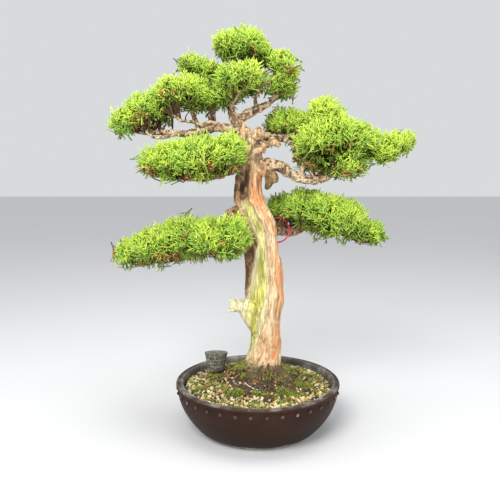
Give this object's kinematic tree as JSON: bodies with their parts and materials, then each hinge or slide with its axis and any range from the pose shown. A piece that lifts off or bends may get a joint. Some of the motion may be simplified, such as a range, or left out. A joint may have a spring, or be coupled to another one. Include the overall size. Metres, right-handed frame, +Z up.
{
  "type": "potted bonsai tree",
  "caption": "Juniper bonsai with layered foliage pads, set in soil and moss in a round studded clay bowl, with a small plastic feed basket on a stake.",
  "frame": {"origin": "middle of the plant's footprint on the surface the pot stands on", "axes": "+Z up, front of the plant along -Y, +X to the right seen from the front"},
  "size_m": [0.4438, 0.25, 0.595],
  "materials": {
    "clay": "unglazed dark brown clay",
    "soil": "loose pumice, lava and baked clay granules",
    "moss": "soft living moss",
    "bark": "peeling bark and weathered deadwood",
    "leaf": "living scale-leaf foliage",
    "basket_plastic": "dark grey-green moulded plastic",
    "stake_plastic": "light grey moulded plastic",
    "feed": "dry pressed plant feed",
    "screen_plastic": "black mesh plastic",
    "aluminium": "soft drawn wire",
    "red_coating": "red plastic coating over wire"
  },
  "bodies": {
    "root": {"pot": "clay", "drain_screen_1": "screen_plastic", "screen_staple_1": "aluminium", "drain_screen_2": "screen_plastic", "screen_staple_2": "aluminium", "drain_screen_3": "screen_plastic", "screen_staple_3": "aluminium", "anchor_wire": "aluminium", "soil_mix": "soil", "moss_patch_1": "moss", "moss_patch_2": "moss", "moss_patch_3": "moss", "moss_patch_4": "moss", "moss_patch_5": "moss", "moss_patch_6": "moss", "moss_patch_7": "moss", "trunk": "bark", "branch_lower_left": "bark", "branch_lower_right": "bark", "branch_middle_left": "bark", "branch_upper_left": "bark", "branch_right_low": "bark", "branch_right_high": "bark", "branch_apex_right": "bark", "leader": "bark", "foliage_lower_left": "leaf", "foliage_lower_right": "leaf", "foliage_middle_left": "leaf", "foliage_left_tip": "leaf", "foliage_left_inner": "leaf", "foliage_left_top": "leaf", "foliage_apex": "leaf", "foliage_apex_right": "leaf", "foliage_apex_front": "leaf", "foliage_apex_back": "leaf", "foliage_right_inner": "leaf", "foliage_right_main": "leaf", "foliage_right_tip": "leaf", "tie_ring": "red_coating", "feed_basket_cup": "basket_plastic", "feed_basket_lid": "basket_plastic", "feed_basket_stake": "stake_plastic", "feed_pellet_1": "feed", "feed_pellet_2": "feed", "feed_pellet_3": "feed", "feed_pellet_4": "feed", "feed_pellet_5": "feed", "feed_pellet_6": "feed", "feed_pellet_7": "feed", "feed_pellet_8": "feed", "feed_pellet_9": "feed", "feed_pellet_10": "feed", "feed_pellet_11": "feed", "feed_pellet_12": "feed"}
  },
  "joints": []
}
